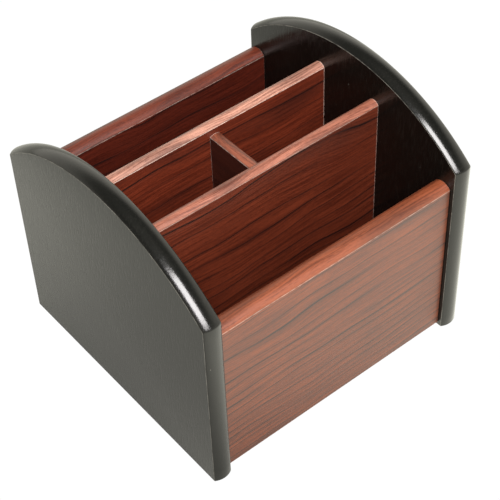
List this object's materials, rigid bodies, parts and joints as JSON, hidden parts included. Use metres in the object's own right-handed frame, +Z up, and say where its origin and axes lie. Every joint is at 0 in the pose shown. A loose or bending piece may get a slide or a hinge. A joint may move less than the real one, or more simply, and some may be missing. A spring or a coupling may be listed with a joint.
{
  "type": "desk organizer",
  "caption": "Desk organizer with two arched lacquered sides, cherry boards between them, a stepped row of pockets and one split pocket.",
  "frame": {"origin": "on the desk, midway between the sides and midway from front to back", "axes": "+X to the right seen from the front, +Y to the back, +Z up; the low front panel faces -Y"},
  "size_m": [0.159, 0.1532, 0.1362],
  "materials": {
    "side_lacquer": "black-brown satin lacquer",
    "cherry_board": "satin red cherry with dark grain running across the object",
    "dowel_wood": "plain fluted beech",
    "screw_zinc": "yellow zinc plated",
    "pad_rubber": "matte black"
  },
  "bodies": {
    "root": {"side_left": "side_lacquer", "side_right": "side_lacquer", "front_panel": "cherry_board", "back_panel": "cherry_board", "divider_front": "cherry_board", "divider_rear": "cherry_board", "cross_divider": "cherry_board", "base_board": "cherry_board", "dowels_front_left": "dowel_wood", "dowels_front_right": "dowel_wood", "dowels_back_left": "dowel_wood", "dowels_back_right": "dowel_wood", "screws_divider_front": "screw_zinc", "screws_divider_rear": "screw_zinc", "pad_front_left": "pad_rubber", "pad_front_right": "pad_rubber", "pad_back_left": "pad_rubber", "pad_back_right": "pad_rubber"}
  },
  "joints": []
}
